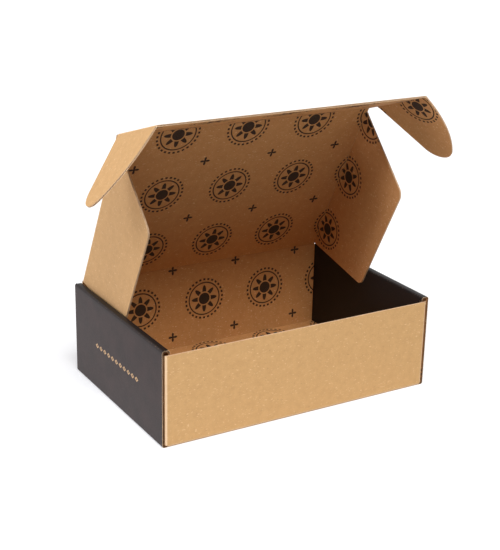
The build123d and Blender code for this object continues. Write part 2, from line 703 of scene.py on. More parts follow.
class PaperGraph(Graph):
    """A paper's nodes, with its place on the flat blank in millimetres."""

    def __init__(self, name: str) -> None:
        """Starts a paper's material."""
        super().__init__(name)
        spot = self.node("ShaderNodeAttribute", {}, "Vector", attribute_name=BLANK_PLACE)
        self.place = self.stretch(spot, 1 / MM, 1 / MM, 1 / MM)
        parts = self.tree.nodes.new("ShaderNodeSeparateXYZ")
        self.feed(parts.inputs[0], self.place)
        self.across, self.along = parts.outputs[0], parts.outputs[1]

    def stretch(self, vector: object, across: float, along: float, through: float) -> object:
        """A place with each of its directions scaled."""
        inputs = {0: vector, 1: (across, along, through)}
        return self.node("ShaderNodeVectorMath", inputs, operation="MULTIPLY")

    def noise(self, grain: Grain) -> object:
        """Cloudy noise between 0 and 1."""
        place = self.stretch(self.place, grain.across, grain.along, grain.through)
        inputs = {"Vector": place, "Scale": 1.0, "Detail": grain.detail, "Roughness": grain.roughness}
        return self.node("ShaderNodeTexNoise", inputs)


@dataclass(frozen=True)
class FoldLines:
    """Where the blank is creased, for the crease tints that carry painted highlight and painted shade; the
    lines' half widths are in millimetres.
    """

    sizes: CaseSizes = CaseSizes()
    tabs: float = 121.7 * MM
    half_line: float = 0.6
    # Wider lines at the corner tabs' folds, to carry a painted highlight along them.
    half_tab_line: float = 1.3

    def show(self, graph: PaperGraph) -> object:
        """How near a crease is.

        Args:
            graph: The material's nodes.

        Returns:
            1 in the middle of a crease and 0 away from it.
        """
        s = self.sizes
        places = (s.half_depth, s.back_blank, s.tuck_blank, s.wing_axis, s.ear_axis, self.tabs)
        walls, lid, tuck, wings, ears, tabs = (place / MM for place in places)
        side = graph.math("ABSOLUTE", graph.across)
        ends = graph.math("ABSOLUTE", graph.along)
        on_lid = graph.math("COMPARE", graph.along, (lid + tuck) / 2, (tuck - lid) / 2)
        on_tuck = graph.math("GREATER_THAN", graph.along, tuck)
        on_walls = graph.math("COMPARE", ends, (walls + lid) / 2, (lid - walls) / 2)
        lines = [(ends, line, self.half_line, 1.0) for line in (walls, lid, tuck)]
        lines += [(side, wings, self.half_line, on_lid), (side, ears, self.half_line, on_tuck)]
        lines += [(side, tabs, self.half_tab_line, on_walls)]
        found = 0.0
        for place, line, width, where in lines:
            near = graph.math("MULTIPLY", graph.ramp(graph.off(place, line), width, 0.0), where)
            found = graph.math("MAXIMUM", found, near)
        return found


@dataclass(frozen=True)
class KraftPaper:
    """Unbleached liner: fine fibres across the flutes, cloudy pulp, dark and pale flecks."""

    name: str
    pale: Colour = (0.70, 0.425, 0.185, 1)
    deep: Colour = (0.60, 0.348, 0.144, 1)
    tone_ends: Pair = (0.38, 0.94)
    clouds: Grain = Grain(0.16, 0.16, 4, 0.65, 0.16)
    cloud_share: float = 0.6
    pulp: Grain = Grain(0.8, 1.1, 4, 0.72)
    pulp_share: float = 0.35
    fibre: Grain = Grain(0.55, 3.2, 3, 0.6)
    fibre_share: float = 0.35
    fibre_rise: float = 0.5
    dark_fleck: Colour = (0.34, 0.18, 0.07, 1)
    dark_grain: Grain = Grain(0.6, 0.9, 2, 0.5)
    dark_ends: Ends = (0.66, 0.74, 0.0, 0.35)
    pale_fleck: Colour = (0.90, 0.66, 0.38, 1)
    pale_grain: Grain = Grain(-0.45, -0.95, 2, 0.5)
    pale_ends: Ends = (0.64, 0.72, 0.0, 0.6)
    # Pale lines along the folds: partly the stretched paper of a crease, partly a painted highlight where the
    # round folds catch the light.
    crease_and_painted_light_tint: Colour = (0.95, 0.74, 0.50, 1)
    crease_and_painted_light_cover: float = 0.6
    crease_rise: float = -0.5
    flute_pitch: float = 3.0
    # Lighter and darker stripes across the flutes: painted shade of the washboard ripple over the flutes.
    washboard_painted_shade: float = 0.02
    flute_rise: float = 0.05
    rough_ends: Pair = (0.1, 0.5)
    roughness: Pair = (0.72, 0.9)
    sheen_level: float = 0.25
    bump_depth: float = 0.06 * MM
    bump_strength: float = 0.6
    folds: FoldLines = FoldLines()

    def paper(self, graph: PaperGraph) -> tuple[object, object]:
        """Paints the paper.

        Args:
            graph: The material's nodes.

        Returns:
            The colour, and a height for the bump.
        """
        ridges = graph.math("SINE", graph.math("MULTIPLY", graph.across, 2 * pi / self.flute_pitch))
        flutes = graph.math("MULTIPLY_ADD", ridges, 0.5, 0.5)
        fibre = graph.noise(self.fibre)
        tone = 0.0
        # The flutes' share of the tone is painted shade of the washboard ripple; the same wave also drives
        # the bump.
        for part, share in (
            (graph.noise(self.pulp), self.pulp_share),
            (graph.noise(self.clouds), self.cloud_share),
            (fibre, self.fibre_share),
            (flutes, self.washboard_painted_shade),
        ):
            tone = graph.math("MULTIPLY_ADD", part, share, tone)
        colour = graph.mix(graph.ramp(tone, *self.tone_ends), self.deep, self.pale)
        for grain, ends, fleck in (
            (self.dark_grain, self.dark_ends, self.dark_fleck),
            (self.pale_grain, self.pale_ends, self.pale_fleck),
        ):
            colour = graph.mix(graph.ramp(graph.noise(grain), *ends), colour, fleck)
        crease = self.folds.show(graph)
        # Crease lines tinted: paler on the outside liner as a painted highlight, darker on the inside liner
        # as painted shade; both partly the crease's own colour.
        colour = graph.mix(graph.math("MULTIPLY", crease, self.crease_and_painted_light_cover), colour, self.crease_and_painted_light_tint)
        height = graph.math("MULTIPLY", flutes, self.flute_rise)
        for part, rise in ((fibre, self.fibre_rise), (crease, self.crease_rise)):
            height = graph.math("MULTIPLY_ADD", part, rise, height)
        return colour, height

    def finish(self, graph: PaperGraph, colour: object, height: object) -> bpy.types.Material:
        """Joins the colour, gloss and bump to the shader.

        Args:
            graph: The material's nodes.
            colour: The colour, all over the blank.
            height: The height for the bump and for the gloss, from 0 to 1.

        Returns:
            The finished material.
        """
        bump = {"Height": height, "Distance": self.bump_depth, "Strength": self.bump_strength}
        graph.shade(
            {
                "Base Color": colour,
                "Roughness": graph.ramp(height, *self.rough_ends, *self.roughness),
                "Specular IOR Level": self.sheen_level,
                "Normal": graph.node("ShaderNodeBump", bump),
            }
        )
        return graph.material

    def material(self) -> bpy.types.Material:
        """The finished material."""
        graph = PaperGraph(self.name)
        return self.finish(graph, *self.paper(graph))


@dataclass(frozen=True)
class PrintedPaper(KraftPaper):
    """The liner inside the box, with a plain repeat of beaded rings and petals in one dark ink.

    Lengths are in millimetres. What lies inside a ring is given in shares of its radius.
    """

    pale: Colour = (0.61, 0.312, 0.118, 1)
    deep: Colour = (0.51, 0.242, 0.082, 1)
    # Darker lines along the folds inside: partly the crushed paper of a crease, partly painted shade in the
    # creases.
    crease_and_painted_light_tint: Colour = (0.24, 0.12, 0.05, 1)
    crease_and_painted_light_cover: float = 0.5
    pitch: float = 64.0
    ring: float = 18.5
    beads: float = 28.0
    bead_half: float = 0.95
    bead_ends: Pair = (-0.3, 0.1)
    inner_ring: float = 0.83
    inner_half: float = 0.6
    petals: float = 8.0
    petal_edge: Pair = (0.19, 0.5)
    vein_ring: float = 0.33
    vein_ends: Pair = (0.45, 0.75)
    leaves: float = 4.0
    leaf_edge: Pair = (0.09, 0.15)
    soft: float = 0.15
    print_half: float = 150.0
    ink: Colour = (0.012, 0.007, 0.005, 1)
    ink_cover: float = 0.97
    thin_share: float = 0.82
    thin_grain: Grain = Grain(1.6, 1.6, 3, 0.7, 1.6)
    thin_ends: Pair = (0.25, 0.5)

    def band(self, graph: PaperGraph, distance: object, middle: float, half: float) -> object:
        """A round line of a given half width, from 0 to 1."""
        return graph.ramp(graph.off(distance, middle), half + self.soft, half - self.soft)

    def flower(self, graph: PaperGraph, distance: object, angle: object, petals: float, edge: Pair) -> object:
        """A flower, from 0 to 1.

        Args:
            graph: The material's nodes.
            distance: Distance from its middle.
            angle: Angle about its middle.
            petals: Number of its petals.
            edge: How far its edge swings, and the middle of the swing.

        Returns:
            1 inside the flower and 0 outside it.
        """
        swing, reach = edge
        outline = graph.math("MULTIPLY_ADD", graph.wave(angle, petals), self.ring * swing, self.ring * reach)
        return graph.ramp(graph.math("SUBTRACT", distance, outline), self.soft, -self.soft)

    def cell(self, graph: PaperGraph, shift: float) -> tuple[object, object]:
        """Distance and angle from the nearest motif of the repeat.

        Args:
            graph: The material's nodes.
            shift: How far the repeat is moved both ways, as a share of its pitch.

        Returns:
            The distance in millimetres and the angle in radians.
        """
        local = [graph.repeat(part, self.pitch, shift) for part in (graph.across, graph.along)]
        squares = [graph.math("MULTIPLY", part, part) for part in local]
        return graph.math("SQRT", graph.math("ADD", *squares)), graph.math("ARCTAN2", local[1], local[0])

    def motif(self, graph: PaperGraph) -> object:
        """Where the ink lies; the outer parts of the flaps stay bare.

        Args:
            graph: The material's nodes.

        Returns:
            How much ink there is, from 0 to 1.
        """
        distance, angle = self.cell(graph, 0.5)
        outer = self.band(graph, distance, self.ring, self.bead_half)
        beads = graph.math("MULTIPLY", outer, graph.ramp(graph.wave(angle, self.beads), *self.bead_ends))
        inner = self.band(graph, distance, self.ring * self.inner_ring, self.inner_half)
        petals = self.flower(graph, distance, angle, self.petals, self.petal_edge)
        vein = graph.ramp(graph.off(distance, self.ring * self.vein_ring), *self.vein_ends)
        corner = self.flower(graph, *self.cell(graph, 0.0), self.leaves, self.leaf_edge)
        shapes = beads
        for shape in (inner, graph.math("MULTIPLY", petals, vein), corner):
            shapes = graph.math("MAXIMUM", shapes, shape)
        return graph.math("MULTIPLY", shapes, graph.within(graph.across, self.print_half))

    def material(self) -> bpy.types.Material:
        """The finished material."""
        graph = PaperGraph(self.name)
        colour, height = self.paper(graph)
        thin = self.ink_cover * self.thin_share
        cover = graph.ramp(graph.noise(self.thin_grain), *self.thin_ends, thin, self.ink_cover)
        colour = graph.mix(graph.math("MULTIPLY", self.motif(graph), cover), colour, self.ink)
        return self.finish(graph, colour, height)


@dataclass(frozen=True)
class BlackPrint(KraftPaper):
    """Black ink flooded over the liner, rubbed along the folds, with a row of bare lozenges.

    Lengths are in millimetres on the blank.
    """

    flute_rise: float = 0.012
    roughness: Pair = (0.42, 0.58)
    sheen_level: float = 0.20
    ink: Colour = (0.010, 0.0075, 0.0068, 1)
    side_folds: tuple[float, ...] = ()
    end_folds: float = 82.1
    rubbed: Colour = (0.26, 0.18, 0.12, 1)
    rub_width: float = 0.8
    rub_share: float = 0.3
    rub_grain: Grain = Grain(1.2, 0.45, 4, 0.7)
    rub_ends: Ends = (0.80, 1.0, 0.0, 0.45)
    pinholes: Grain = Grain(2.4, 2.4, 2, 0.6, 2.4)
    pinhole_ends: Ends = (0.72, 0.78, 0.0, 0.22)
    # Greyer ink on the outer faces: partly bloom on the ink, partly a painted sheen that stands in for the
    # reflection of the bright studio.
    haze_and_sheen: Colour = (0.052, 0.031, 0.027, 1)
    haze_and_sheen_ends: Ends = (198.0, 205.0, 1.0, 0.0)
    haze_and_sheen_grain: Grain = Grain(0.045, 0.045, 4, 0.6, 0.045)
    haze_and_sheen_cover: Ends = (0.25, 0.75, 0.35, 0.75)
    bare: Colour = (0.62, 0.39, 0.19, 1)
    row_place: float = 163.0
    row_pitch: float = 7.5
    row_count: int = 11
    lozenge: Pair = (2.2, 3.0)
    lozenge_rim: Pair = (1.06, 0.94)
    lozenge_hole: Pair = (0.32, 0.44)

    def wear(self, graph: PaperGraph) -> object:
        """How much paper shows through the ink.

        Args:
            graph: The material's nodes.

        Returns:
            From 0 for ink to 1 for paper.
        """
        near = graph.off(graph.math("ABSOLUTE", graph.along), self.end_folds)
        side = graph.math("ABSOLUTE", graph.across)
        for fold in self.side_folds:
            near = graph.math("MINIMUM", near, graph.off(side, fold))
        close = graph.ramp(near, self.rub_width, 0.0)
        rub = graph.math("MULTIPLY_ADD", close, self.rub_share, graph.noise(self.rub_grain))
        pinhole = graph.ramp(graph.noise(self.pinholes), *self.pinhole_ends)
        return graph.math("MAXIMUM", graph.ramp(rub, *self.rub_ends), pinhole)

    def lozenges(self, graph: PaperGraph) -> object:
        """A row of bare lozenges along the middle of each side.

        Args:
            graph: The material's nodes.

        Returns:
            From 0 for ink to 1 for bare paper.
        """
        wide, long = self.lozenge
        off = graph.off(graph.math("ABSOLUTE", graph.across), self.row_place)
        local = graph.math("ABSOLUTE", graph.repeat(graph.along, self.row_pitch))
        size = graph.math("MULTIPLY_ADD", off, 1 / wide, graph.math("DIVIDE", local, long))
        shape = graph.within(graph.along, self.row_pitch * self.row_count / 2)
        for ends in (self.lozenge_rim, self.lozenge_hole):
            shape = graph.math("MULTIPLY", shape, graph.ramp(size, *ends))
        return shape

    def material(self) -> bpy.types.Material:
        """The finished material."""
        graph = PaperGraph(self.name)
        _, height = self.paper(graph)
        # The outer wall faces get the grey haze, in part a painted sheen; the roll tops and inner faces keep
        # the plain ink.
        outer_sheen_share = graph.ramp(graph.math("ABSOLUTE", graph.across), *self.haze_and_sheen_ends)
        cloudy = graph.ramp(graph.noise(self.haze_and_sheen_grain), *self.haze_and_sheen_cover)
        colour = graph.mix(graph.math("MULTIPLY", outer_sheen_share, cloudy), self.ink, self.haze_and_sheen)
        colour = graph.mix(self.wear(graph), colour, self.rubbed)
        return self.finish(graph, graph.mix(self.lozenges(graph), colour, self.bare), height)


@dataclass(frozen=True)
class CutEdge(KraftPaper):
    """Raw paper without print: pale where a liner is cut, paler still as a painted highlight along the edges,
    and dark as painted shade where it stands for the hollows of the flutes.
    """

    # Partly the raw paper's own colour, partly a painted highlight that makes the thin cut edges read as lit
    # lines.
    pale: Colour = (0.90, 0.66, 0.42, 1)
    deep: Colour = (0.70, 0.47, 0.27, 1)
    crease_and_painted_light_cover: float = 0.0


def board_finishes(side_folds: tuple[float, ...]) -> list[bpy.types.Material]:
    """Makes the board's materials.

    Args:
        side_folds: Distances on the blank, in millimetres, at which the black finish is worn.

    Returns:
        One material for each Surface, in order.
    """
    finishes = (
        KraftPaper("kraft_liner"),
        PrintedPaper("printed_liner"),
        BlackPrint("black_liner", side_folds=side_folds),
        CutEdge("cut_edge_painted_highlight"),
        # Dark flute paper: painted shade in the hollows of the flutes and in the gap at the side walls' front
        # edges.
        CutEdge("flute_hollow_painted_shade", pale=(0.20, 0.105, 0.05, 1), deep=(0.11, 0.055, 0.025, 1)),
    )
    return [finish.material() for finish in finishes]


@dataclass
class FoldedPiece:
    """A part of the folded sheet that rides on one body and stands for one solid."""

    sizes: CaseSizes
    materials: list[bpy.types.Material]

    def hang(
        self, panel: Matrix, path: SectionPath, fold_blank: float, boards: list[list[Knot]], edge_half: float
    ) -> SheetMesh:
        """Makes the board of a panel that hangs on its fold by a crushed round edge.

        Args:
            panel: The panel's frame.
            path: Its section, straight across.
            fold_blank: Distance on the flat blank from the middle of the floor to the fold.
            boards: Outlines of its pieces of board.
            edge_half: Half the length of the round edge.

        Returns:
            The panel's mesh.
        """
        mesh = SheetMesh()
        mesh.lay(panel, lambda run, y: (run - path.length / 2, fold_blank + y))
        for knots in boards:
            mesh.board(path, knots, self.sizes.board)
        mesh.stand(lambda spot, x: panel @ Vector((x, spot.x, spot.y)), lambda run, x: (x, fold_blank + run))
        mesh.bead(self.sizes.board.face, -edge_half, edge_half)
        return mesh

    def seat(self, mesh: SheetMesh, body: str) -> None:
        """Makes the piece's object in place of the frame's solid of the same name as its body.

        Args:
            mesh: The piece's mesh.
            body: The body that it rides on.
        """
        piece = mesh.build(f"{body}_board", self.materials)
        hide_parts(body)
        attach(piece, body)
        LOG.info("%s stands for %s", piece.name, body)


@dataclass
class Tray(FoldedPiece):
    """The floor, the walls, the corner tabs and the rolled sides."""

    side_setback: float = 0.9 * MM
    roll_setback: float = 3.8 * MM
    roll_rear_gap: float = 0.4 * MM
    hood_drop: float = 3.6 * MM
    floor_gap: float = 0.3 * MM
    lock_gap: float = 0.2 * MM
    lock_length: float = 22 * MM
    lock_pitch: float = 78 * MM
    lock_rise: float = 0.2 * MM
    tab_length: float = 60 * MM
    tab_foot: float = 3 * MM
    tab_drop: float = 5 * MM
    tab_taper: float = 8 * MM

    @property
    def roll_path(self) -> SectionPath:
        """Section of both rolled sides and the floor, from one roll's foot to the other's."""
        s = self.sizes
        half = s.board.half
        roll_x = s.half_width - s.roll_inner + half
        wall_x = s.half_width - half
        top = s.height - half
        left = [(-roll_x, self.lock_rise), (-roll_x, top), (-wall_x, top), (-wall_x, half)]
        return SectionPath(left + [(-x, z) for x, z in reversed(left)], s.bend)

    @property
    def fold_blanks(self) -> tuple[float, ...]:
        """Distances on the flat blank from its middle to the side walls' folds, in millimetres."""
        path = self.roll_path
        middles = [(low + high) / 2 - path.length / 2 for low, high in path.bends]
        return tuple(m / MM for m in middles if m > 0)

    def add_sides(self, mesh: SheetMesh) -> None:
        """Adds the rolled sides and the floor between them.

        Args:
            mesh: The tray's mesh.
        """
        s = self.sizes
        path = self.roll_path
        middle = path.length / 2
        mesh.stand(lambda spot, y: Vector((spot.x, y, spot.y)), lambda run, y: (run - middle, y))
        black_end = path.bends[2][1]
        outside = lambda run: Surface.BLACK if min(run, path.length - run) < black_end else Surface.KRAFT
        foot = s.board.thickness + self.floor_gap - self.lock_rise
        roll_ends = (-s.half_depth + self.roll_setback, s.half_depth - s.board.thickness - self.roll_rear_gap)
        hood = path.bends[0][1] - self.hood_drop
        wall_end = s.half_depth - self.side_setback
        floor_end = s.half_depth - s.bend_outer
        strip_run = middle - (s.half_width - s.tab_outer - s.bend_outer)
        tongue_x = s.half_width - s.roll_outer - s.board.half
        slot_half = s.board.half + self.lock_gap
        slot_runs = (middle - tongue_x - slot_half, middle - tongue_x + slot_half)
        side = [
            Knot(foot, *roll_ends),
            Knot(hood, *roll_ends),
            Knot(hood, -wall_end, roll_ends[1]),
            Knot(path.bends[1][0], -wall_end, roll_ends[1]),
            Knot(path.bends[1][0], -wall_end, wall_end),
            Knot(strip_run, -wall_end, wall_end),
            Knot(strip_run, -floor_end, floor_end),
            Knot(slot_runs[0], -floor_end, floor_end),
        ]
        reach = self.lock_length / 2
        wide = reach + self.lock_gap
        lock = self.lock_pitch / 2
        tongues = [(place - reach, place + reach) for place in (-lock, lock)]
        webs = [(-floor_end, -lock - wide), (-lock + wide, lock - wide), (lock + wide, floor_end)]
        strips = [side]
        strips += [[Knot(0, *ends), Knot(foot, *ends)] for ends in tongues]
        strips += [[Knot(slot_runs[0], *ends), Knot(slot_runs[1], *ends)] for ends in webs]
        for strip in strips:
            for knots in (strip, mirrored(strip, path)):
                # The side walls' fluted paper, the liners' faces towards it and the inner liner's cut edges
                # take the dark finish, which is painted shade.
                mesh.board(path, knots, s.board, outside, core=Surface.FLUTE_SHADE)
        floor_ends = (slot_runs[1], path.length - slot_runs[1])
        mesh.board(path, [Knot(run, -floor_end, floor_end) for run in floor_ends], s.board, outside)

    def add_wall(self, mesh: SheetMesh, side: int, top: float) -> None:
        """Adds the front or back wall, its fold to the floor and its corner tabs.

        Args:
            mesh: The tray's mesh.
            side: -1 for the front and 1 for the back.
            top: Height of the wall.
        """
        s = self.sizes
        half = s.board.half
        line_x = s.half_width - s.tab_outer - half
        line_y = s.half_depth - half
        tab_end = s.half_depth - self.tab_length
        corners = [(-line_x, -tab_end), (-line_x, -line_y), (line_x, -line_y), (line_x, -tab_end)]
        path = SectionPath(corners, s.bend)
        middle = path.length / 2
        foot = s.bend_outer
        mesh.stand(
            lambda spot, z: Vector((spot.x, -side * spot.y, z)),
            lambda run, z: (run - middle, side * (s.half_depth + z)),
        )
        shoulder = path.bends[0][0]
        tab_foot = shoulder - self.tab_foot
        outline = [
            Knot(0, self.tab_foot + self.tab_taper, top - self.tab_drop - self.tab_taper),
            Knot(tab_foot, self.tab_foot, top - self.tab_drop),
            Knot(shoulder, foot, top),
        ]
        mesh.board(path, outline + mirrored(outline, path), s.board)
        strip_half = s.half_width - s.tab_outer - s.bend_outer
        fold = SectionPath([(-s.half_depth + foot, half), (-line_y, half), (-line_y, foot)], s.bend)
        mesh.stand(
            lambda spot, x: Vector((x, -side * spot.x, spot.y)),
            lambda run, x: (x, side * (s.half_depth - foot + run)),
        )
        knots = [Knot(run, -strip_half, strip_half) for run in (0, fold.length)]
        rows = rows_between(knots, fold.bend_cuts(s.board.bend_steps))
        raw = lambda run: Surface.RAW
        face = s.board.face
        mesh.layer(fold, rows, lambda run: -face, lambda run: 0, lambda run: Surface.PRINTED, raw)
        mesh.layer(fold, rows, lambda run: 0, lambda run: face, raw, lambda run: Surface.KRAFT)

    def build(self) -> None:
        """Makes the tray."""
        mesh = SheetMesh()
        self.add_sides(mesh)
        self.add_wall(mesh, -1, self.sizes.height - self.sizes.front_drop)
        self.add_wall(mesh, 1, self.sizes.lid_axis[1] - self.sizes.fold_clear)
        self.seat(mesh, "tray")


@dataclass
class Lid(FoldedPiece):
    """The lid panel, recessed at each side where a wing folds."""

    def build(self) -> None:
        """Makes the lid."""
        s = self.sizes
        path = SectionPath([(-s.lid_half, 0), (s.lid_half, 0)], 0)
        start = s.board.flat_start
        end = s.lid_length - s.fold_clear
        recess = s.lid_half - s.wing_axis + s.wing_gap
        recess_start = s.wing_start - s.fold_gap
        recess_end = s.wing_end + s.fold_gap
        outlines = [[Knot(recess, start, end), Knot(path.length - recess, start, end)]]
        for low, high in ((start, recess_start), (recess_end, end)):
            near = [Knot(0, low, high), Knot(recess, low, high)]
            outlines += [near, mirrored(near, path)]
        self.seat(self.hang(s.lid_frame, path, s.back_blank, outlines, s.lid_half), "lid")


@dataclass
class Wing(FoldedPiece):
    """A wing on one side of the lid, with its slanted ends and round corners."""

    hand: Hand = Hand.RIGHT
    depth: float = 76.5 * MM
    rear_slant: float = 20 * MM
    front_slant: float = 27 * MM
    rear_corner: float = 7 * MM
    front_corner: float = 9 * MM
    corner_steps: int = 10

    def slanted_end(self, slant: float, corner: float) -> list[Pair]:
        """One slanted end with its round corner.

        Args:
            slant: How far the end leans over the wing's depth.
            corner: Radius of its corner.

        Returns:
            Height over the fold and distance in from the end's foot, from the fold to the free edge.
        """
        lean = atan2(slant, self.depth)
        trim = corner * tan((pi / 2 - lean) / 2)
        centre = Vector((self.depth - corner, slant + trim))
        spots = [(0.0, 0.0)]
        for k in range(self.corner_steps + 1):
            turn = -pi / 2 + lean + (pi / 2 - lean) * k / self.corner_steps
            spots.append((centre.x + corner * cos(turn), centre.y + corner * sin(turn)))
        return spots

    def outline(self, rise: float) -> list[Knot]:
        """The wing's outline.

        Args:
            rise: Distance along the section to the wing's foot.

        Returns:
            The outline, along the section.
        """
        rear = self.slanted_end(self.rear_slant, self.rear_corner)
        front = self.slanted_end(self.front_slant, self.front_corner)
        start, end = self.sizes.wing_start, self.sizes.wing_end

        def inset(spots: list[Pair], height: float) -> float:
            """Distance in from an end's foot at a height over the fold."""
            for (low, a), (high, b) in zip(spots, spots[1:]):
                if height <= high + SAME_RUN:
                    return a + (b - a) * max(height - low, 0) / max(high - low, SAME_RUN)
            return spots[-1][1]

        heights = sorted({height for height, _ in rear + front})
        knots = [Knot(0, start, end)]
        for height in heights:
            knots.append(Knot(rise + height, start + inset(rear, height), end - inset(front, height)))
        return knots

    def build(self) -> None:
        """Makes the wing."""
        s = self.sizes
        half = s.board.half
        line = s.wing_axis + half
        path = SectionPath([(s.wing_axis, 0), (line, 0), (line, half + self.depth)], half)
        mesh = SheetMesh()
        mesh.lay(s.lid_frame @ handed(self.hand), s.wing_blank(self.hand))
        mesh.board(path, self.outline(path.bends[0][1]), s.board)
        self.seat(mesh, f"wing_{self.hand.side}")


@dataclass
class TuckFlap(FoldedPiece):
    """The flap on the lid's front edge, cut back at each end where an ear folds."""

    depth: float = 77.5 * MM

    def build(self) -> None:
        """Makes the tuck flap."""
        s = self.sizes
        half = s.ear_axis - s.fold_clear
        path = SectionPath([(-half, 0), (half, 0)], 0)
        beside = half - s.lid_half
        foot = s.ear_start - s.fold_gap
        steps = ((0, foot), (beside, foot), (beside, s.board.flat_start))
        side = [Knot(run, low, self.depth) for run, low in steps]
        outline = side + mirrored(side, path)
        self.seat(self.hang(s.tuck_frame, path, s.tuck_blank, [outline], s.lid_half), "tuck_flap")


@dataclass
class Ear(FoldedPiece):
    """A locking ear: straight towards the lid, round at the tip, bowed towards the free edge."""

    hand: Hand = Hand.RIGHT
    tip_reach: float = 50 * MM
    tip_place: float = 38.5 * MM
    tip_radius: float = 17 * MM
    edge_steps: int = 72
    last_share: float = 0.998

    @property
    def length(self) -> float:
        """Distance from the fold to the tip."""
        return self.tip_reach + self.tip_radius

    @property
    def bow(self) -> float:
        """Radius of the bowed edge."""
        rise = self.sizes.ear_end - self.tip_place
        return (self.tip_reach**2 + rise**2 - self.tip_radius**2) / (2 * (rise - self.tip_radius))

    @property
    def near_join(self) -> float:
        """Distance from the fold at which the bowed edge meets the round tip."""
        way = Vector((self.tip_reach, self.tip_place - self.sizes.ear_end + self.bow)).normalized()
        return self.tip_reach + way.x * self.tip_radius

    def far_edge(self) -> Pair:
        """Distance at which the straight edge meets the tip, and the slope of the edge."""
        to_tip = Vector((self.tip_reach, self.tip_place - self.sizes.ear_start))
        tangent = sqrt(to_tip.length_squared - self.tip_radius**2)
        turn = atan2(to_tip.y, to_tip.x) - atan2(self.tip_radius, tangent)
        return self.tip_reach + sin(turn) * self.tip_radius, tan(turn)

    def outline(self) -> list[Knot]:
        """The ear's outline from its fold almost to its tip, closer together round the tip.

        Returns:
            The outline, along the section.
        """
        far_join, slope = self.far_edge()
        knots = []
        for k in range(self.edge_steps + 1):
            x = self.length * sin(pi / 2 * min(k / self.edge_steps, self.last_share))
            tip = sqrt(max(self.tip_radius**2 - (x - self.tip_reach) ** 2, 0.0))
            bowed = self.sizes.ear_end - self.bow + sqrt(self.bow**2 - x**2)
            low = self.sizes.ear_start + slope * x if x < far_join else self.tip_place - tip
            knots.append(Knot(x, low, bowed if x < self.near_join else self.tip_place + tip))
        return knots

    def build(self) -> None:
        """Makes the ear."""
        s = self.sizes
        mesh = SheetMesh()
        mesh.lay(s.ear_frame(self.hand), s.ear_blank(self.hand))
        rows = rows_between(self.outline(), [s.board.flat_start])[1:]
        mesh.board(SectionPath([(0, 0), (self.length, 0)], 0), rows, s.board)
        mesh.bead(s.board.face, s.ear_start, s.ear_end)
        self.seat(mesh, f"ear_{self.hand.side}")


@dataclass
class Fold:
    """A fold that moves, seen in a flat section whose origin is its axis.

    The section's Z runs along the fold. The ways are the directions in which the two panels leave
    the fold. The blank takes a distance over the fold and one along it to the flat blank.
    """

    name: str
    bodies: tuple[str, str]
    section: Matrix
    ways: tuple[Vector, Vector]
    ends: Pair
    blank: Blank
    liners: tuple[Liner, ...] = tuple(Liner)
    radius: float = 0.7 * MM


@dataclass
class CreaseSkin:
    """A strip of liner that carries the paper across a fold between two moving parts."""

    fold: Fold
    liner: Liner
    materials: list[bpy.types.Material]
    leg: float = 2.0 * MM
    leg_steps: int = 5
    arc_steps: int = 8
    paper: float = 0.2 * MM
    hollow_cut: float = 1.5

    def outer_line(self) -> list[tuple[Vector, Vector, float]]:
        """The strip's seen face in the section.

        Returns:
            The places, the ways they face and the distances over the fold.
        """
        near, far = self.fold.ways
        radius = self.fold.radius
        side = self.liner.value
        near_face = left_of(-near) * side
        far_face = left_of(far) * side
        turn = atan2(near_face.cross(far_face), near_face.dot(far_face))
        hollow = turn * side > 0
        cut = radius * tan(abs(turn) / 2) * self.hollow_cut if hollow else 0.0
        legs = [cut + (self.leg - cut) * (1 - k / self.leg_steps) for k in range(self.leg_steps + 1)]
        line = [(near_face * radius + near * d, near_face, -d) for d in legs]
        for k in [self.arc_steps // 2] if hollow else range(1, self.arc_steps):
            face = turned(near_face, turn * k / self.arc_steps)
            line.append((face * radius, face, 0.0))
        return line + [(far_face * radius + far * d, far_face, d) for d in reversed(legs)]

    def build(self) -> None:
        """Makes the strip in place across the fold."""
        fold = self.fold
        low, high = fold.ends
        mesh = SheetMesh()
        mesh.stand(lambda spot, reach: fold.section @ Vector((spot.x, spot.y, reach)), fold.blank)
        rings = []
        for spot, face, run in self.outer_line():
            deep = spot - face * self.paper
            corners = ((spot, low), (spot, high), (deep, high), (deep, low))
            rings.append([mesh.point(c, r, run, self.liner.value * fold.radius) for c, r in corners])
        mesh.turn_faces = mesh.turn_faces != (self.liner is Liner.INSIDE)
        mesh.tube(rings, Surface.KRAFT if self.liner is Liner.OUTSIDE else Surface.PRINTED)
        piece = mesh.build(f"{fold.name}_crease_{self.liner.name.lower()}", self.materials)
        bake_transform(piece)
        LOG.info("%s joins %s and %s", piece.name, *fold.bodies)


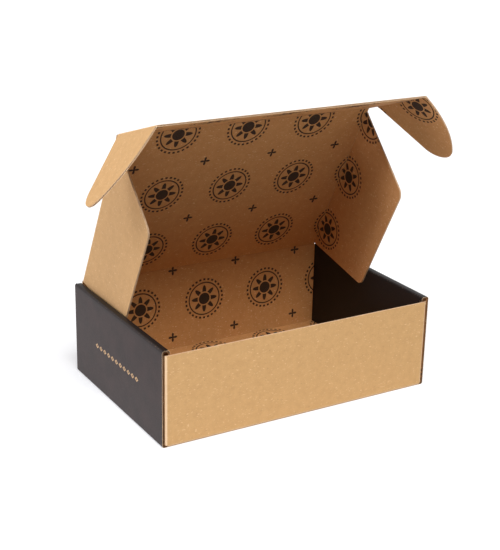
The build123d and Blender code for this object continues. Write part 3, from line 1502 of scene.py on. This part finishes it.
@dataclass
class Creases:
    """The paper over every fold that moves."""

    sizes: CaseSizes
    materials: list[bpy.types.Material]
    wing_ends: Pair = (2.6 * MM, 158.9 * MM)

    def lid_folds(self) -> list[Fold]:
        """The folds at both ends of the lid."""
        s = self.sizes
        lid_turn = radians(s.lid_angle)
        tuck_turn = radians(s.tuck_angle)
        from_side = Matrix(((0, 0, 1), (1, 0, 0), (0, 1, 0))).to_4x4()
        ends = (-s.lid_half, s.lid_half)
        lid = Matrix.Translation((0, *s.lid_axis)) @ from_side
        lid_ways = (Vector((0, -1)), Vector((-cos(lid_turn), sin(lid_turn))))
        tuck = s.lid_frame @ Matrix.Translation((0, s.lid_length, 0)) @ from_side
        tuck_ways = (Vector((-1, 0)), Vector((cos(tuck_turn), sin(tuck_turn))))
        return [
            Fold("lid", ("tray", "lid"), lid, lid_ways, ends, lambda run, x: (x, s.back_blank + run)),
            Fold("tuck", ("lid", "tuck_flap"), tuck, tuck_ways, ends, lambda run, x: (x, s.tuck_blank + run)),
        ]

    def hand_folds(self, hand: Hand) -> list[Fold]:
        """The ear's fold and the wing's fold on one side.

        Args:
            hand: The side.

        Returns:
            The two folds.
        """
        s = self.sizes
        turn = radians(s.ear_angle)
        from_end = Matrix(((1, 0, 0), (0, 0, 1), (0, 1, 0))).to_4x4()
        inward = Vector((-1, 0))
        ear, wing = f"ear_{hand.side}", f"wing_{hand.side}"
        ear_ends = (s.ear_start, s.ear_end)
        ear_fold = s.tuck_frame @ handed(hand) @ Matrix.Translation((s.ear_axis, 0, 0)) @ from_end
        ear_ways = (inward, Vector((cos(turn), sin(turn))))
        wing_fold = s.lid_frame @ handed(hand) @ Matrix.Translation((s.wing_axis, 0, s.board.half)) @ from_end
        wing_ways = (inward, Vector((0, 1)))
        on_ear = Fold(ear, ("tuck_flap", ear), ear_fold, ear_ways, ear_ends, s.ear_blank(hand))
        on_wing = Fold(wing, ("lid", wing), wing_fold, wing_ways, self.wing_ends, s.wing_blank(hand))
        on_wing.liners = (Liner.OUTSIDE,)
        on_wing.radius = s.board.thickness
        return [on_ear, on_wing]

    def build(self) -> None:
        """Makes the strips of every fold."""
        folds = self.lid_folds()
        for hand in Hand:
            folds += self.hand_folds(hand)
        for fold in folds:
            for liner in fold.liners:
                CreaseSkin(fold, liner, self.materials).build()


def way_to(azimuth: float, elevation: float) -> Vector:
    """The way from the box at two angles in degrees; azimuth 0 is in front and less than 0 to the left."""
    turn, lift = radians(azimuth), radians(elevation)
    return Vector((sin(turn) * cos(lift), -cos(turn) * cos(lift), sin(lift)))


@dataclass(frozen=True)
class Lamp:
    """A soft distant lamp: its azimuth, elevation and width are in degrees."""

    name: str
    azimuth: float
    elevation: float
    strength: float
    spread: float
    tint: tuple[float, float, float] = (1.0, 1.0, 1.0)

    def build(self) -> None:
        """Hangs the lamp."""
        lamp = bpy.data.lights.new(self.name, "SUN")
        lamp.energy = self.strength
        lamp.color = self.tint
        lamp.angle = radians(self.spread)
        holder = add_object(self.name, lamp)
        way = way_to(self.azimuth, self.elevation)
        holder.location = way
        holder.rotation_mode = "QUATERNION"
        holder.rotation_quaternion = (-way).to_track_quat("-Z", "Y")


@dataclass
class Studio:
    """A pale floor, soft lamps and the camera; angles are in degrees."""

    floor_size: float = 8.0
    floor_colour: Colour = (0.57, 0.57, 0.57, 1)
    floor_white: float = 0.5
    white: Colour = (1, 1, 1, 1)
    ambient: float = 0.1
    lamps: tuple[Lamp, ...] = (
        Lamp("front", -6.0, 58.5, 3.02, 26.0),
        Lamp("side_high", -75.0, 42.0, 0.95, 30.0, (0.97, 0.98, 1.15)),
        Lamp("side_low", -88.0, 4.0, 0.95, 10.0, (0.97, 0.98, 1.15)),
    )
    camera_place: tuple[float, float, float] = (-0.502832, -0.836544, 0.447185)
    azimuth: float = -30.956
    elevation: float = 19.899
    roll: float = 1.256
    lens: float = 80.808
    clip_start: float = 0.01

    def build_floor(self) -> None:
        """Lays the floor."""
        half = self.floor_size / 2
        mesh = bpy.data.meshes.new("floor")
        corners = [(-half, -half, 0), (half, -half, 0), (half, half, 0), (-half, half, 0)]
        mesh.from_pydata(corners, [], [(0, 1, 2, 3)])
        sheet = add_object("floor", mesh)
        graph = Graph("floor_paper")
        graph.shade(
            {
                "Base Color": self.floor_colour,
                "Roughness": 1.0,
                "Specular IOR Level": 0.0,
                "Emission Color": self.white,
                "Emission Strength": graph.math("MULTIPLY", self.seen(graph), self.floor_white),
            }
        )
        mesh.materials.append(graph.material)

    def seen(self, nodes: Nodes) -> object:
        """1 where the camera sees the studio, straight or in a reflection, and 0 where it only lights."""
        rays = nodes.tree.nodes.new("ShaderNodeLightPath").outputs
        either = nodes.math("MAXIMUM", rays["Is Camera Ray"], rays["Is Glossy Ray"])
        return nodes.math("MAXIMUM", either, rays["Is Transmission Ray"])

    def build_world(self) -> None:
        """Lights the scene evenly from all round, and shows white behind it."""
        world = bpy.data.worlds.new("studio")
        world.use_nodes = True
        bpy.context.scene.world = world
        nodes = Nodes(world.node_tree)
        background = nodes.tree.nodes["Background"].inputs
        nodes.feed(background["Color"], self.white)
        ends = {"Value": self.seen(nodes), "To Min": self.ambient, "To Max": 1.0}
        nodes.feed(background["Strength"], nodes.node("ShaderNodeMapRange", ends))

    def build_camera(self) -> None:
        """Sets the camera up at the photograph's angle."""
        lens = bpy.data.cameras.new("camera")
        lens.lens = self.lens
        lens.clip_start = self.clip_start
        holder = add_object("camera", lens)
        back = way_to(self.azimuth, self.elevation)
        level_x = Vector((0, 0, 1)).cross(back).normalized()
        tilt = radians(self.roll)
        axis_x = level_x * cos(tilt) + back.cross(level_x) * sin(tilt)
        holder.matrix_world = frame_at(self.camera_place, axis_x, back)
        bpy.context.scene.camera = holder

    def build(self) -> None:
        """Makes the whole studio."""
        self.build_floor()
        self.build_world()
        for lamp in self.lamps:
            lamp.build()
        self.build_camera()
        bpy.context.scene.view_settings.view_transform = "Standard"
        LOG.info("studio")


def main() -> None:
    """Builds the parts of the box in order, then the studio."""
    logging.basicConfig(level=logging.INFO, format="%(name)s: %(message)s")
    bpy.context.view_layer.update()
    sizes = CaseSizes()
    tray = Tray(sizes, [])
    materials = board_finishes(tray.fold_blanks)
    tray.materials = materials
    tray.build()
    Lid(sizes, materials).build()
    TuckFlap(sizes, materials).build()
    for hand in Hand:
        Wing(sizes, materials, hand).build()
        Ear(sizes, materials, hand).build()
    Creases(sizes, materials).build()
    Studio().build()


if __name__ == "__main__":
    main()
